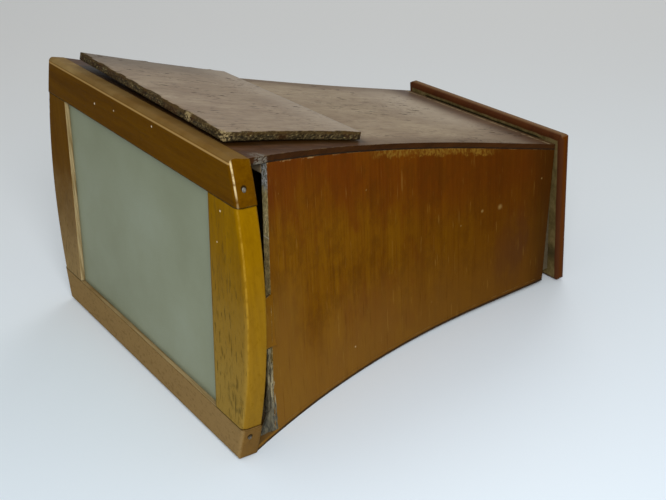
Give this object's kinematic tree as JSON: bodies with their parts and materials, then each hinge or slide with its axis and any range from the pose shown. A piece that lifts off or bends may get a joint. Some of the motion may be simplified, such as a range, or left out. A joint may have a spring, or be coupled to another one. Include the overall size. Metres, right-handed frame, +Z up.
{
  "type": "brewster stereoscope",
  "caption": "Flared wooden box viewer for stereo cards with a ground glass front, hinged light lid, open card slot and a sliding eyepiece board with lenses.",
  "frame": {"origin": "middle of the bounding box's underside, on the table under the case", "axes": "+Z up, -Y towards the ground glass, +Y towards the eyepieces, X across"},
  "size_m": [0.1818, 0.2, 0.1214],
  "materials": {
    "frame_wood": "worn satin",
    "ground_glass": "ground",
    "raw_wood": "bare",
    "case_wood": "polished",
    "top_wood": "dull polish",
    "tin": "tinned",
    "brass": "aged",
    "dark_wood": "turned",
    "lens_glass": "clear"
  },
  "bodies": {
    "case": {"frame_top_rail": "frame_wood", "frame_bottom_rail": "frame_wood", "frame_left_stile": "frame_wood", "frame_right_stile": "frame_wood", "ground_glass": "ground_glass", "top_glazing_slip": "raw_wood", "bottom_glazing_slip": "raw_wood", "left_glazing_slip": "raw_wood", "right_glazing_slip": "raw_wood", "top_card_stop": "raw_wood", "bottom_card_stop": "raw_wood", "septum": "raw_wood", "bottom_board": "case_wood", "left_side_panel": "case_wood", "right_side_panel": "case_wood", "top_board": "top_wood", "left_hinge_body_leaf": "brass", "right_hinge_body_leaf": "brass", "left_hinge_pin": "brass", "right_hinge_pin": "brass", "body_hinge_screws": "brass"},
    "lid": {"lid_board": "top_wood", "lid_reflector": "tin", "left_hinge_lid_leaf": "brass", "right_hinge_lid_leaf": "brass", "lid_hinge_screws": "brass"},
    "eyepiece": {"eyepiece_board": "case_wood", "draw_left_strip": "raw_wood", "draw_right_strip": "raw_wood", "draw_top_strip": "raw_wood", "draw_bottom_strip": "raw_wood", "left_eyepiece_rim": "dark_wood", "right_eyepiece_rim": "dark_wood", "left_lens": "lens_glass", "right_lens": "lens_glass", "left_lens_ring": "brass", "right_lens_ring": "brass"}
  },
  "joints": [
    {"name": "lid_hinge", "type": "hinge", "parent": "case", "child": "lid", "pos_m": [0, -0.01811, 0.0996], "axis": [-1, 0, 0], "range_deg": [-0.5, 109.5]},
    {"name": "eyepiece_draw", "type": "slide", "parent": "case", "child": "eyepiece", "axis": [0, 0.9999, 0.0151], "range_m": [-0.0012, 0.01]}
  ]
}
